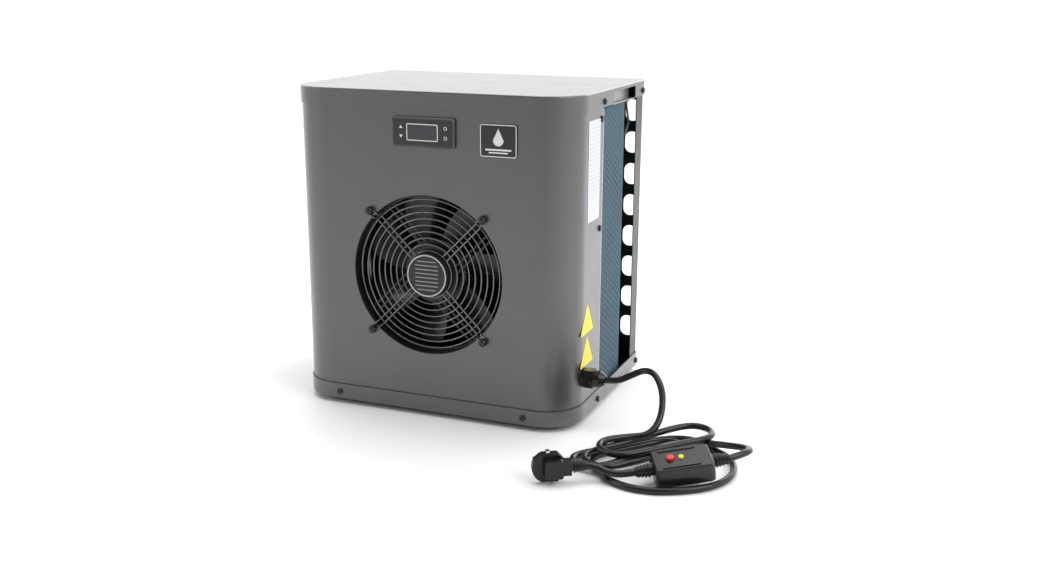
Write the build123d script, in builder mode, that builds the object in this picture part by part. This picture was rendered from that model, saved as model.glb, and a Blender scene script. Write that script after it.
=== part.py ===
"""Compact pool heat pump: cabinet, axial fan, L-shaped coil, compressor circuit, mains lead with in-line RCD.

Origin: on the floor, under the middle of the cabinet. +X right, +Y to the rear, +Z up. Millimetres.
"""

import os
from math import cos, pi, radians, sin, tan

from build123d import *

os.makedirs("parts", exist_ok=True)

# ---------------------------------------------------------------- driving dimensions
shell_width = 340.0
shell_depth = 253.0        # front face of the shell to rear face of the rear panel
body_height = 362.0        # underside of the base to top of the lid
foot_height = 6.0
sheet = 1.0
cap_gap = 0.5              # between the shell and the skirts of lid and base
corner_radius = 43.0       # outer radius of the shell's two front corners
lid_skirt = 18.7
base_skirt = 18.4
side_panel_rear = -28.9    # rear edge of the right side panel
post_depth = 28.0          # side flange of the rear panel
fan_height = 165.3         # fan axis above the floor
opening_radius = 90.5
guard_pcd = 194.0
guard_radius = 85.0
guard_rings = 9
ring_pitch = 7.3
wire = 1.8
shroud_depth = 30.0
shroud_wall = 1.2
blade_count = 7
tip_clearance = 4.0
rotor_radius = 34.0
shaft_radius = 4.0
running_fit = 0.05
screw_shank = 1.9
screw_clearance = 0.2
screw_head_radius = 3.6
screw_head_height = 2.2
screw_length = 7.0
edge_screw_length = 3.0
cable_diameter = 7.2
coil_thickness = 22.0
coil_gap_side = 4.0        # side plane of the shell to the coil
coil_gap_rear = 6.5        # rear plane to the coil
coil_bend = 68.0
compressor_radius = 44.0
compressor_height = 205.0
exchanger_radius = 42.0
exchanger_height = 215.0
port_radius = 24.0
tail_radius = 19.0         # 38 mm hose tail
tail_length = 34.0
foot_radius = 9.0
foot_bore = 2.6
foot_spacing_x = 270.0
foot_spacing_y = 190.0

# ---------------------------------------------------------------- planes and places
floor_z = foot_height + sheet
top_z = foot_height + body_height
half_width = shell_width / 2
half_depth = shell_depth / 2
front_y = -half_depth
rear_y = half_depth
cap_x = half_width + cap_gap + sheet
cap_y = half_depth + cap_gap + sheet
shell_top = top_z - sheet - cap_gap
post_front = rear_y - post_depth
cap_radius = corner_radius + cap_gap + sheet
lid_rear_radius = 6.0
rear_bend = lid_rear_radius - cap_gap - sheet
foot_points = [(sx * foot_spacing_x / 2, sy * foot_spacing_y / 2) for sx in (-1, 1) for sy in (-1, 1)]
guard_angles = (45, 135, 225, 315)
guard_points = [(guard_pcd / 2 * cos(radians(a)), guard_pcd / 2 * sin(radians(a))) for a in guard_angles]
clear_radius = screw_shank + screw_clearance


def panel_outline(half_x, front, rear, front_radius, rear_radius):
    """Plan outline with two large front corners and two small rear ones."""
    with BuildSketch() as outline:
        with BuildLine():
            Line((-half_x, front + front_radius), (-half_x, rear - rear_radius))
            TangentArc((-half_x, rear - rear_radius), (-half_x + rear_radius, rear), tangent=(0, 1))
            Line((-half_x + rear_radius, rear), (half_x - rear_radius, rear))
            TangentArc((half_x - rear_radius, rear), (half_x, rear - rear_radius), tangent=(1, 0))
            Line((half_x, rear - rear_radius), (half_x, front + front_radius))
            TangentArc((half_x, front + front_radius), (half_x - front_radius, front), tangent=(0, -1))
            Line((half_x - front_radius, front), (-half_x + front_radius, front))
            TangentArc((-half_x + front_radius, front), (-half_x, front + front_radius), tangent=(-1, 0))
        make_face()
    return outline.sketch


def cap_inner_outline():
    """Plan outline inside the skirts of the lid and the base."""
    half_x = cap_x - sheet
    half_y = cap_y - sheet
    return panel_outline(half_x, -half_y, half_y, cap_radius - sheet, lid_rear_radius - sheet)


def front_plane(y):
    """Plane facing the viewer at depth y, local x to the right and local y up, centred on the fan axis."""
    return Plane(origin=(0, y, fan_height), x_dir=(1, 0, 0), z_dir=(0, -1, 0))


# ---------------------------------------------------------------- screws' places
base_front_screws = [(sx * 115.4, foot_height + 8.5) for sx in (-1, 1)]
base_side_screws = [(-33.5, foot_height + 7.4), (121.1, foot_height + 7.4)]
lid_side_screws = [(-29.1, foot_height + 349.4), (117.9, foot_height + 349.4)]
lid_rear_screws = [(sx * 120.0, foot_height + 349.4) for sx in (-1, 1)]
shell_edge_screws = [(-34.5, foot_height + 331.0), (-34.5, foot_height + 209.3)]
shell_side_screws = base_side_screws[:1] + lid_side_screws[:1] + shell_edge_screws
panel_side_screws = base_side_screws[1:] + lid_side_screws[1:]


def rods_along_y(points, radius, y0, y1):
    """Round rods along Y at the (x, z) points, to cut holes with."""
    with BuildPart() as rods:
        with BuildSketch(Plane(origin=(0, y1, 0), x_dir=(1, 0, 0), z_dir=(0, -1, 0))):
            with Locations(*points):
                Circle(radius)
        extrude(amount=y1 - y0)
    return rods.part


def rods_along_x(points, radius, x0, x1):
    """Round rods along X at the (y, z) points, to cut holes with."""
    with BuildPart() as rods:
        with BuildSketch(Plane(origin=(x0, 0, 0), x_dir=(0, 1, 0), z_dir=(1, 0, 0))):
            with Locations(*points):
                Circle(radius)
        extrude(amount=x1 - x0)
    return rods.part


# ---------------------------------------------------------------- cabinet
notch_front = 2.9
notch_rear = 87.6
notch_top = foot_height + 357.2
handle_inset = 9.0
handle_front = notch_front + 5.5
handle_rear = notch_rear + 4.0
handle_low = top_z - lid_skirt - 1.0

with BuildPart() as lid:
    with BuildSketch(Plane.XY.offset(top_z - lid_skirt)):
        add(panel_outline(cap_x, -cap_y, cap_y, cap_radius, lid_rear_radius))
    extrude(amount=lid_skirt)
    fillet(lid.edges().group_by(Axis.Z)[-1], 1.6)
    with BuildSketch(Plane.XY.offset(top_z - lid_skirt)):
        add(cap_inner_outline())
    extrude(amount=lid_skirt - sheet, mode=Mode.SUBTRACT)
    with BuildSketch(Plane.XY.offset(top_z - lid_skirt)):
        with Locations((0, (notch_front + notch_rear) / 2)):
            Rectangle(2 * cap_x + 2, notch_rear - notch_front)
    extrude(amount=notch_top - (top_z - lid_skirt), mode=Mode.SUBTRACT)
    add(rods_along_x(lid_side_screws, clear_radius, -cap_x - 1, cap_x + 1), mode=Mode.SUBTRACT)
    add(rods_along_y(lid_rear_screws, clear_radius, cap_y - 3, cap_y + 1), mode=Mode.SUBTRACT)

with BuildPart() as base_pan:
    with BuildSketch(Plane.XY.offset(foot_height)):
        add(panel_outline(cap_x, -cap_y, cap_y, cap_radius, lid_rear_radius))
    extrude(amount=base_skirt)
    fillet(base_pan.edges().group_by(Axis.Z)[0], 1.6)
    with BuildSketch(Plane.XY.offset(floor_z)):
        add(cap_inner_outline())
    extrude(amount=base_skirt, mode=Mode.SUBTRACT)
    with BuildSketch(Plane.XY.offset(foot_height)):
        with Locations(*foot_points):
            Circle(foot_radius - 3)
    extrude(amount=sheet, mode=Mode.SUBTRACT)
    with BuildSketch(Plane.XY.offset(foot_height)):
        with Locations((30, 100), (-30, 100)):
            Circle(6)
    extrude(amount=sheet, mode=Mode.SUBTRACT)
    add(rods_along_x(base_side_screws, clear_radius, -cap_x - 1, cap_x + 1), mode=Mode.SUBTRACT)
    add(rods_along_y(base_front_screws, clear_radius, -cap_y - 1, -cap_y + 3), mode=Mode.SUBTRACT)

controller_width = 74.0
controller_height = 32.0
controller_lip = 1.5
controller_z = foot_height + 318.6
gland_y = -82.0
gland_z = foot_height + 49.0
gland_thread_radius = 8.0
thread_gap = 0.3
port_gap = 0.5             # round each water port
port_y = 45.0
port_heights = [70.0, 165.0]
port_points = [(port_y, z) for z in port_heights]

with BuildPart() as outer_shell:
    with BuildSketch(Plane.XY.offset(floor_z)):
        add(panel_outline(half_width, front_y, rear_y + 20, corner_radius, 1.0))
        inner = panel_outline(half_width - sheet, front_y + sheet, rear_y + 30, corner_radius - sheet, 1.0)
        add(inner, mode=Mode.SUBTRACT)
    extrude(amount=shell_top - floor_z)
    with BuildSketch(Plane.XY.offset(floor_z)):
        with Locations((0, post_front + 60 - cap_gap)):
            Rectangle(shell_width + 10, 120)
    extrude(amount=shell_top - floor_z, mode=Mode.SUBTRACT)
    with BuildSketch(Plane.XY.offset(floor_z)):
        with Locations((half_width, side_panel_rear + 80)):
            Rectangle(20, 160)
    extrude(amount=shell_top - floor_z, mode=Mode.SUBTRACT)
    with BuildSketch(front_plane(front_y - 1)):
        Circle(opening_radius)
        with Locations(*guard_points):
            Circle(clear_radius)
    extrude(amount=-4, mode=Mode.SUBTRACT)
    add(rods_along_y(base_front_screws, clear_radius, front_y - 1, front_y + 3), mode=Mode.SUBTRACT)
    add(rods_along_x(shell_side_screws, clear_radius, -half_width - 1, half_width + 1), mode=Mode.SUBTRACT)
    gland_hole = rods_along_x([(gland_y, gland_z)], gland_thread_radius + thread_gap, 0, half_width + 1)
    add(gland_hole, mode=Mode.SUBTRACT)
    add(rods_along_x(port_points, port_radius + port_gap, -half_width - 1, 0), mode=Mode.SUBTRACT)
    with BuildSketch(Plane.XY.offset(handle_low - 0.3)):
        with Locations((-half_width, (handle_front + handle_rear) / 2)):
            Rectangle(10, handle_rear - handle_front + 1)
    extrude(amount=shell_top, mode=Mode.SUBTRACT)
    with BuildSketch(front_plane(front_y - 1)):
        with Locations((0, controller_z - fan_height)):
            Rectangle(controller_width - 2 * controller_lip, controller_height - 2 * controller_lip)
    extrude(amount=-4, mode=Mode.SUBTRACT)

hole_width = 18.0
hole_height = 26.0
hole_pitch_x = 31.5
hole_pitch_z = 39.0
hole_columns = 11
hole_rows = 8
hole_low_z = 57.2
hole_corner = 8.4

with BuildPart() as rear_panel:
    with BuildSketch(Plane.XY.offset(floor_z)):
        with Locations((0, rear_y - post_depth / 2)):
            Rectangle(shell_width, post_depth)
    extrude(amount=shell_top - floor_z)
    fillet(rear_panel.edges().filter_by(Axis.Z).group_by(Axis.Y)[-1], rear_bend)
    with BuildSketch(Plane.XY.offset(floor_z)) as rear_panel_void:
        with Locations((0, rear_y - post_depth / 2 - sheet)):
            Rectangle(shell_width - 2 * sheet, post_depth)
        fillet(rear_panel_void.vertices().group_by(Axis.Y)[-1], rear_bend - sheet)
    extrude(amount=shell_top - floor_z, mode=Mode.SUBTRACT)
    with BuildSketch(Plane(origin=(0, rear_y + 1, 0), x_dir=(1, 0, 0), z_dir=(0, -1, 0))):
        with Locations((0, hole_low_z + hole_pitch_z * (hole_rows - 1) / 2)):
            with GridLocations(hole_pitch_x, hole_pitch_z, hole_columns, hole_rows):
                RectangleRounded(hole_width, hole_height, hole_corner)
    extrude(amount=3, mode=Mode.SUBTRACT)
    add(rods_along_x(panel_side_screws, clear_radius, -half_width - 1, half_width + 1), mode=Mode.SUBTRACT)
    add(rods_along_y(lid_rear_screws, clear_radius, rear_y - 3, rear_y + 1), mode=Mode.SUBTRACT)

with BuildPart() as handle_plates:
    handle_length = handle_rear - handle_front
    handle_middle = (handle_rear + handle_front) / 2
    for side in (-1, 1):
        with BuildSketch(Plane.XY.offset(handle_low)):
            with Locations((side * (half_width - handle_inset), handle_middle)):
                Rectangle(sheet, handle_length)
        extrude(amount=top_z - sheet - handle_low)
        with BuildSketch(Plane.XY.offset(handle_low)):
            with Locations((side * (half_width - handle_inset / 2), handle_middle)):
                Rectangle(handle_inset, handle_length)
        extrude(amount=sheet)

with BuildPart() as rubber_feet:
    with BuildSketch() as feet_pads:
        with Locations(*foot_points):
            Circle(foot_radius)
    extrude(amount=foot_height)
    with BuildSketch(Plane.XY.offset(foot_height)):
        with Locations(*foot_points):
            Circle(foot_radius - 3 - 0.1)
    extrude(amount=sheet + 0.2)
    with BuildSketch(Plane.XY.offset(floor_z + 0.2)):
        with Locations(*foot_points):
            Circle(foot_radius - 1.5)
    extrude(amount=2.5)
    with BuildSketch():
        with Locations(*foot_points):
            Circle(foot_bore)
    extrude(amount=floor_z + 4, mode=Mode.SUBTRACT)


def pan_screws(places, direction, grip):
    """Domed screws, each its own solid: places are points on the outer surface, direction is outwards."""
    with BuildPart() as screws:
        for place in places:
            seat = Plane(origin=place, z_dir=direction)
            with BuildSketch(seat):
                Circle(screw_head_radius)
            extrude(amount=screw_head_height)
            with BuildSketch(seat):
                Circle(screw_shank)
            extrude(amount=-grip)
        circles = screws.edges().filter_by(GeomType.CIRCLE)
        rims = [e for e in circles if abs(e.radius - screw_head_radius) < 0.01]
        outer = [e for e in rims if (e.arc_center - Vector(*places[0])).dot(Vector(*direction)) > 0.1]
        fillet(outer, 1.4)
    return screws.part


with BuildPart() as cabinet_screws:
    for side in (-1, 1):
        capped = [(side * cap_x, y, z) for y, z in lid_side_screws + base_side_screws]
        add(pan_screws(capped, (side, 0, 0), screw_length))
        plain = [(side * half_width, y, z) for y, z in shell_edge_screws]
        add(pan_screws(plain, (side, 0, 0), edge_screw_length))
    add(pan_screws([(x, cap_y, z) for x, z in lid_rear_screws], (0, 1, 0), screw_length))
    add(pan_screws([(x, -cap_y, z) for x, z in base_front_screws], (0, -1, 0), screw_length))

# ---------------------------------------------------------------- fan
shroud_front = front_y + sheet
shroud_radius = opening_radius - 0.5
guard_y = front_y + 7.0
leg_y = guard_y - 1.6
eye_y = front_y - wire / 2 - 0.1
leg_spread = 3.2
hub_ring_radius = guard_radius - (guard_rings - 1) * ring_pitch
fastener_radius = 4.6
fastener_height = 5.8

with BuildPart() as fan_shroud:
    with BuildSketch(front_plane(shroud_front)):
        Circle(guard_pcd / 2 + 8)
        Circle(shroud_radius, mode=Mode.SUBTRACT)
        with Locations(*guard_points):
            Circle(clear_radius, mode=Mode.SUBTRACT)
    extrude(amount=-sheet)
    with BuildSketch(front_plane(shroud_front)):
        Circle(shroud_radius + shroud_wall)
        Circle(shroud_radius, mode=Mode.SUBTRACT)
    extrude(amount=-shroud_depth)


def fan_point(angle, radial, across, y):
    """A point given by direction, distance and sideways offset about the fan axis."""
    a = radians(angle)
    return (
        radial * cos(a) - across * sin(a),
        y,
        fan_height + radial * sin(a) + across * cos(a),
    )


with BuildPart() as fan_guard:
    for ring in range(guard_rings):
        with BuildSketch(Plane.YZ):
            with Locations((guard_y, fan_height + guard_radius - ring * ring_pitch)):
                Circle(wire / 2)
        revolve(axis=Axis((0, 0, fan_height), (0, 1, 0)))
    for angle in guard_angles:
        half = [
            (hub_ring_radius, leg_y),
            (guard_radius + 0.8, leg_y),
            (opening_radius - 1.4, eye_y),
            (guard_pcd / 2 + leg_spread, eye_y),
        ]
        there = [fan_point(angle, r, leg_spread, y) for r, y in half]
        back = [fan_point(angle, r, -leg_spread, y) for r, y in reversed(half)]
        with BuildLine() as leg_line:
            FilletPolyline(*there, *back, radius=[1.2, 1.2, leg_spread - 0.1, leg_spread - 0.1, 1.2, 1.2])
        with BuildSketch(Plane(origin=leg_line.line @ 0, z_dir=leg_line.line % 0)):
            Circle(wire / 2)
        sweep(path=leg_line.wires()[0])

with BuildPart() as guard_fasteners:
    for x, z in guard_points:
        seat = Plane(origin=(x, eye_y - wire / 2, fan_height + z), x_dir=(1, 0, 0), z_dir=(0, -1, 0))
        with BuildSketch(seat):
            Circle(fastener_radius)
        extrude(amount=fastener_height)
        with BuildSketch(seat):
            Circle(screw_shank)
        extrude(amount=-(wire + 2 * sheet + 2.0))
    fillet(guard_fasteners.faces().filter_by(Axis.Y).sort_by(Axis.Y)[:4].edges(), fastener_radius - 1.0)

bracket_y = guard_y + 6.0
bracket_plate = 1.5
arm_offset = 16.6
arm_half_gap = 3.4
arm_width = 2.2
stator_radius = 25.0
stator_front = front_y - 0.4
core_radius = 29.0
rotor_inner = 31.0
rotor_front = guard_y + 14.5
rotor_length = 36.0
rotor_end = 3.0
bearing_radius = 8.0
bearing_width = 5.0

with BuildPart() as motor_bracket:
    with BuildSketch(front_plane(bracket_y)):
        with PolarLocations(0, 4, start_angle=45):
            for strap in (-arm_half_gap, arm_half_gap):
                with Locations((shroud_radius / 2 + 5, strap - arm_offset)):
                    Rectangle(shroud_radius, arm_width)
        Circle(stator_radius + 6)
        Circle(shroud_radius - 0.1, mode=Mode.INTERSECT)
        Circle(stator_radius + running_fit, mode=Mode.SUBTRACT)
    extrude(amount=-bracket_plate)
    with BuildSketch(front_plane(bracket_y)):
        Circle(shroud_radius - 0.1)
        Circle(shroud_radius - 2.3, mode=Mode.SUBTRACT)
    extrude(amount=-bracket_plate)

with BuildPart() as motor_stator:
    with BuildSketch(front_plane(stator_front)):
        Circle(stator_radius)
    extrude(amount=-(rotor_front - stator_front - 1.0))
    with BuildSketch(front_plane(rotor_front - 1.0)):
        Circle(stator_radius - 8)
    extrude(amount=-3.0)
    with BuildSketch(front_plane(rotor_front + 2.0)):
        Circle(core_radius)
    extrude(amount=-(rotor_length - rotor_end - 6.0))
    with BuildSketch(front_plane(stator_front)):
        Circle(shaft_radius + 0.6)
    extrude(amount=-rotor_length - 20, mode=Mode.SUBTRACT)
    with BuildSketch(front_plane(stator_front)):
        Circle(bearing_radius)
    extrude(amount=-bearing_width - 1.0, mode=Mode.SUBTRACT)
    with BuildSketch(front_plane(rotor_front + rotor_length - rotor_end - 4.0)):
        Circle(bearing_radius)
    extrude(amount=bearing_width + 1.0, mode=Mode.SUBTRACT)

with BuildPart() as motor_bearings:
    for y in (stator_front + 1.0, rotor_front + rotor_length - rotor_end - 4.0 - bearing_width - 1.0):
        with BuildSketch(front_plane(y)):
            Circle(bearing_radius)
            Circle(shaft_radius + running_fit, mode=Mode.SUBTRACT)
        extrude(amount=-bearing_width)

with BuildPart() as motor_label:
    with BuildSketch(front_plane(stator_front)):
        Circle(stator_radius - 0.3)
    extrude(amount=0.6)

with BuildPart() as motor_shaft:
    with BuildSketch(front_plane(stator_front + 0.6)):
        Circle(shaft_radius)
    extrude(amount=-(rotor_front + rotor_length + 4.0 - stator_front - 0.6))

with BuildPart() as motor_rotor:
    with BuildSketch(front_plane(rotor_front)):
        Circle(rotor_radius)
        Circle(rotor_inner, mode=Mode.SUBTRACT)
    extrude(amount=-rotor_length)
    with BuildSketch(front_plane(rotor_front + rotor_length - rotor_end)):
        Circle(rotor_radius)
        Circle(shaft_radius, mode=Mode.SUBTRACT)
    extrude(amount=-rotor_end)

hub_wall = 3.0
tip_radius = shroud_radius - tip_clearance
blade_plane_y = rotor_front + rotor_length / 2
# distance from the axis, chord, angle of the chord to the fan plane, sweep about the axis
blade_sections = [
    (rotor_radius - 1.0, 30.0, 48.0, 0.0),
    ((rotor_radius + tip_radius) / 2, 44.0, 33.0, -7.0),
    (tip_radius + 3.0, 54.0, 22.0, -16.0),
]
blade_camber = 0.09
blade_thickness = 1.8


def blade_section(radius, chord, pitch, sweep_angle, turn):
    """One cambered blade section on a plane square to the radius."""
    a = radians(turn + sweep_angle)
    out = Vector(cos(a), 0, sin(a))
    along = Vector(-sin(a), 0, cos(a))
    place = Plane(origin=Vector(0, blade_plane_y, fan_height) + out * radius, x_dir=along, z_dir=out)
    p = radians(pitch)
    c, s = cos(p), sin(p)
    half, rise, thick = chord / 2, chord * blade_camber, blade_thickness / 2

    def spot(u, v):
        return (u * c - v * s, u * s + v * c)

    with BuildSketch(place) as section:
        with BuildLine():
            ThreePointArc(spot(-half, thick * 0.6), spot(0, rise + thick), spot(half, thick * 0.6))
            Line(spot(half, thick * 0.6), spot(half, -thick * 0.6))
            ThreePointArc(spot(half, -thick * 0.6), spot(0, rise - thick), spot(-half, -thick * 0.6))
            Line(spot(-half, -thick * 0.6), spot(-half, thick * 0.6))
        make_face()
    return section.sketch.face()


with BuildPart() as fan_impeller:
    for blade in range(blade_count):
        turn = 167.0 + blade * 360.0 / blade_count
        loft(sections=[blade_section(*section, turn) for section in blade_sections])
    with BuildSketch(front_plane(rotor_front - 10)):
        Circle(tip_radius)
    extrude(amount=-rotor_length - 30, mode=Mode.INTERSECT)
    with BuildSketch(front_plane(rotor_front + 1.0)):
        Circle(rotor_radius + hub_wall)
    extrude(amount=-rotor_length + 2.0)
    with BuildSketch(front_plane(rotor_front - 10)):
        Circle(rotor_radius)
    extrude(amount=-rotor_length - 30, mode=Mode.SUBTRACT)

# ---------------------------------------------------------------- coil
coil_outer_x = half_width - coil_gap_side
coil_outer_y = rear_y - coil_gap_rear
coil_low = floor_z + 3.0
coil_high = handle_low - 1.5
coil_front = side_panel_rear + 4.0
coil_left = -100.0
plate_thickness = 1.2
tube_radius = 3.6
hairpin_pitch = 25.0
bend_centre = (coil_outer_x - coil_bend, coil_outer_y - coil_bend)


def coil_outline(inset_outer, inset_inner, front, left):
    """Plan outline of the L-shaped coil."""
    x1, y1 = coil_outer_x - inset_outer, coil_outer_y - inset_outer
    x0, y0 = coil_outer_x - coil_thickness + inset_inner, coil_outer_y - coil_thickness + inset_inner
    cx, cy = bend_centre
    with BuildSketch() as outline:
        with BuildLine():
            Line((x1, front), (x1, cy))
            TangentArc((x1, cy), (cx, y1), tangent=(0, 1))
            Line((cx, y1), (left, y1))
            Line((left, y1), (left, y0))
            Line((left, y0), (cx, y0))
            TangentArc((cx, y0), (x0, cy), tangent=(1, 0))
            Line((x0, cy), (x0, front))
            Line((x0, front), (x1, front))
        make_face()
    return outline.sketch


with BuildPart() as coil_fins:
    with BuildSketch(Plane.XY.offset(coil_low)):
        add(coil_outline(0, 0, coil_front + plate_thickness, coil_left + plate_thickness))
    extrude(amount=coil_high - coil_low)

end_flange = 14.0

with BuildPart() as coil_end_plates:
    middle_x = coil_outer_x - coil_thickness / 2
    middle_y = coil_outer_y - coil_thickness / 2
    with BuildSketch(Plane.XY.offset(floor_z)):
        with Locations((middle_x + coil_gap_side / 2, coil_front + plate_thickness / 2)):
            Rectangle(coil_thickness + coil_gap_side - 2 * sheet, plate_thickness)
        flange_x = half_width - sheet - plate_thickness / 2
        with Locations((flange_x, coil_front + plate_thickness - end_flange / 2)):
            Rectangle(plate_thickness, end_flange)
        with Locations((coil_left + plate_thickness / 2, middle_y)):
            Rectangle(plate_thickness, coil_thickness)
    extrude(amount=coil_high - floor_z)
    add(rods_along_x(shell_side_screws, clear_radius, 0, half_width), mode=Mode.SUBTRACT)

hairpin_count = int((coil_high - coil_low - 50.0) / hairpin_pitch) + 1
hairpin_heights = [coil_low + 20.0 + hairpin_pitch * k for k in range(hairpin_count)]
hairpin_radius = 6.0

with BuildPart() as coil_hairpins:
    for z in hairpin_heights:
        with BuildSketch(Plane(origin=(middle_x, coil_front, z), x_dir=(1, 0, 0), z_dir=(0, -1, 0))):
            with Locations((hairpin_radius, 0)):
                Circle(tube_radius)
        revolve(axis=Axis((middle_x, coil_front, z), (0, 0, -1)), revolution_arc=180)
        far_end = (coil_left, middle_y, z + hairpin_pitch / 2)
        with BuildSketch(Plane(origin=far_end, x_dir=(0, -1, 0), z_dir=(-1, 0, 0))):
            with Locations((hairpin_radius, 0)):
                Circle(tube_radius)
        revolve(axis=Axis(far_end, (0, 0, -1)), revolution_arc=180)

# ---------------------------------------------------------------- refrigerant circuit
compressor_x = -18.0
compressor_y = 50.0
grommet_height = 8.0
grommet_radius = 8.0
mount_circle = compressor_radius + 2.0
mount_plate = 3.0
shell_low = floor_z + grommet_height + mount_plate
shell_high = shell_low + compressor_height
compressor_dome = 16.0
mount_angles = (30, 150, 270)
mount_points = [
    (compressor_x + mount_circle * cos(radians(a)), compressor_y + mount_circle * sin(radians(a)))
    for a in mount_angles
]
grommet_bore = 2.7

with BuildPart() as compressor:
    with BuildSketch(Plane.XY.offset(shell_low)):
        with Locations((compressor_x, compressor_y)):
            Circle(compressor_radius)
    extrude(amount=compressor_height)
    fillet(compressor.edges().group_by(Axis.Z)[-1], compressor_dome)
    fillet(compressor.edges().group_by(Axis.Z)[0], compressor_dome / 2)
    with BuildSketch(Plane.XY.offset(shell_low - mount_plate)):
        with Locations((compressor_x, compressor_y)):
            Circle(compressor_radius - compressor_dome / 2 + 4)
        with Locations(*mount_points):
            Circle(grommet_radius + 2)
    extrude(amount=mount_plate + 0.5)
    with BuildSketch(Plane.XY.offset(shell_low - mount_plate)):
        with Locations(*mount_points):
            Circle(grommet_radius - 3)
    extrude(amount=mount_plate + 30, mode=Mode.SUBTRACT)

with BuildPart() as compressor_grommets:
    with BuildSketch(Plane.XY.offset(floor_z)):
        with Locations(*mount_points):
            Circle(grommet_radius)
            Circle(grommet_bore, mode=Mode.SUBTRACT)
    extrude(amount=grommet_height)

accumulator_x = 48.0
accumulator_y = 62.0
accumulator_radius = 16.0
accumulator_low = floor_z + 30.0
accumulator_height = 120.0

with BuildPart() as accumulator:
    with BuildSketch(Plane.XY.offset(accumulator_low)):
        with Locations((accumulator_x, accumulator_y)):
            Circle(accumulator_radius)
    extrude(amount=accumulator_height)
    fillet(accumulator.edges().filter_by(GeomType.CIRCLE), 7)

exchanger_x = -118.0
exchanger_low = floor_z
exchanger_high = exchanger_low + exchanger_height
exchanger_cap = 14.0

with BuildPart() as heat_exchanger:
    with BuildSketch(Plane.XY.offset(exchanger_low)):
        with Locations((exchanger_x, port_y)):
            Circle(exchanger_radius)
    extrude(amount=exchanger_height)
    with BuildSketch(Plane.XY.offset(exchanger_high - exchanger_cap - 14)):
        with Locations((exchanger_x, port_y)):
            Circle(exchanger_radius + 3)
    extrude(amount=12)
    fillet(heat_exchanger.edges().group_by(Axis.Z)[-1], 8)

port_wall = 4.5
port_face = -half_width - 12.0
port_bore = port_radius - port_wall - 2.5
flange_thickness = 4.0
nut_wall = 7.0
nut_start = -half_width - 5.0
nut_lip = 4.0
nut_end = port_face - flange_thickness - nut_lip
thread_fit = 0.2
tail_wall = 3.0
tail_step = 0.3            # the neck inside the nut is this much thinner


def along_x(x, z):
    """Plane across the water ports at x, facing outwards from the left side."""
    return Plane(origin=(x, port_y, z), x_dir=(0, -1, 0), z_dir=(-1, 0, 0))


with BuildPart() as water_ports:
    for z in port_heights:
        with BuildSketch(along_x(exchanger_x, z)):
            Circle(port_radius)
        extrude(amount=exchanger_x - port_face)
    with BuildSketch(Plane.XY.offset(exchanger_low - 1)):
        with Locations((exchanger_x, port_y)):
            Circle(exchanger_radius)
    extrude(amount=exchanger_height + 2, mode=Mode.SUBTRACT)
    add(rods_along_x(port_points, port_bore, port_face - 1, exchanger_x), mode=Mode.SUBTRACT)

with BuildPart() as hose_tails:
    for z in port_heights:
        with BuildSketch(along_x(port_face, z)):
            Circle(port_radius - 0.5)
        extrude(amount=flange_thickness)
        with BuildSketch(along_x(port_face, z)):
            Circle(tail_radius - tail_step)
        extrude(amount=flange_thickness + nut_lip)
        with BuildSketch(along_x(nut_end, z)):
            Circle(tail_radius)
        extrude(amount=tail_length)
    tail_bore = rods_along_x(port_points, tail_radius - tail_wall, nut_end - tail_length - 1, port_face)
    add(tail_bore, mode=Mode.SUBTRACT)

nut_ribs = 12

with BuildPart() as union_nuts:
    for z in port_heights:
        with BuildSketch(along_x(nut_start, z)):
            Circle(port_radius + nut_wall)
            with PolarLocations(port_radius + nut_wall, nut_ribs):
                Circle(2.0)
        extrude(amount=nut_start - nut_end)
        with BuildSketch(along_x(nut_start, z)):
            Circle(port_radius + thread_fit)
        extrude(amount=nut_start - nut_end - nut_lip, mode=Mode.SUBTRACT)
        with BuildSketch(along_x(nut_start, z)):
            Circle(tail_radius + 0.3)
        extrude(amount=nut_start - nut_end, mode=Mode.SUBTRACT)

pipe_radius = 4.0
drier_radius = 9.0
drier_y = -20.0
drier_z = 40.0
drier_start = 40.0
drier_length = 52.0
suction_z = 248.0
discharge_z = 244.0


def bent_pipe(points, radius, bend):
    """A pipe of round section through the points, with equal bends."""
    with BuildPart() as pipe:
        with BuildLine() as run:
            FilletPolyline(*points, radius=bend)
        with BuildSketch(Plane(origin=run.line @ 0, z_dir=run.line % 0)):
            Circle(radius)
        sweep(path=run.wires()[0])
    return pipe.part


with BuildPart() as discharge_pipe:
    add(bent_pipe([
        (compressor_x + 16, compressor_y, shell_high),
        (compressor_x + 16, compressor_y, discharge_z),
        (compressor_x - 40, compressor_y + 10, discharge_z),
        (exchanger_x, port_y + 10, discharge_z),
        (exchanger_x, port_y + 10, exchanger_high),
    ], pipe_radius, 8))

with BuildPart() as suction_pipe:
    add(bent_pipe([
        (accumulator_x, accumulator_y, accumulator_low + accumulator_height),
        (accumulator_x, accumulator_y, suction_z),
        (accumulator_x + 50, accumulator_y - 30, suction_z),
        (coil_outer_x - coil_thickness, accumulator_y - 30, suction_z),
    ], pipe_radius, 12))

with BuildPart() as liquid_pipe:
    add(bent_pipe([
        (exchanger_x, port_y - exchanger_radius, drier_z),
        (exchanger_x, drier_y, drier_z),
        (drier_start, drier_y, drier_z),
    ], pipe_radius - 1, 10))

with BuildPart() as filter_drier:
    with BuildSketch(Plane(origin=(drier_start, drier_y, drier_z), z_dir=(1, 0, 0))):
        Circle(drier_radius)
    extrude(amount=drier_length)
    fillet(filter_drier.edges().filter_by(GeomType.CIRCLE), 5)

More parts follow.
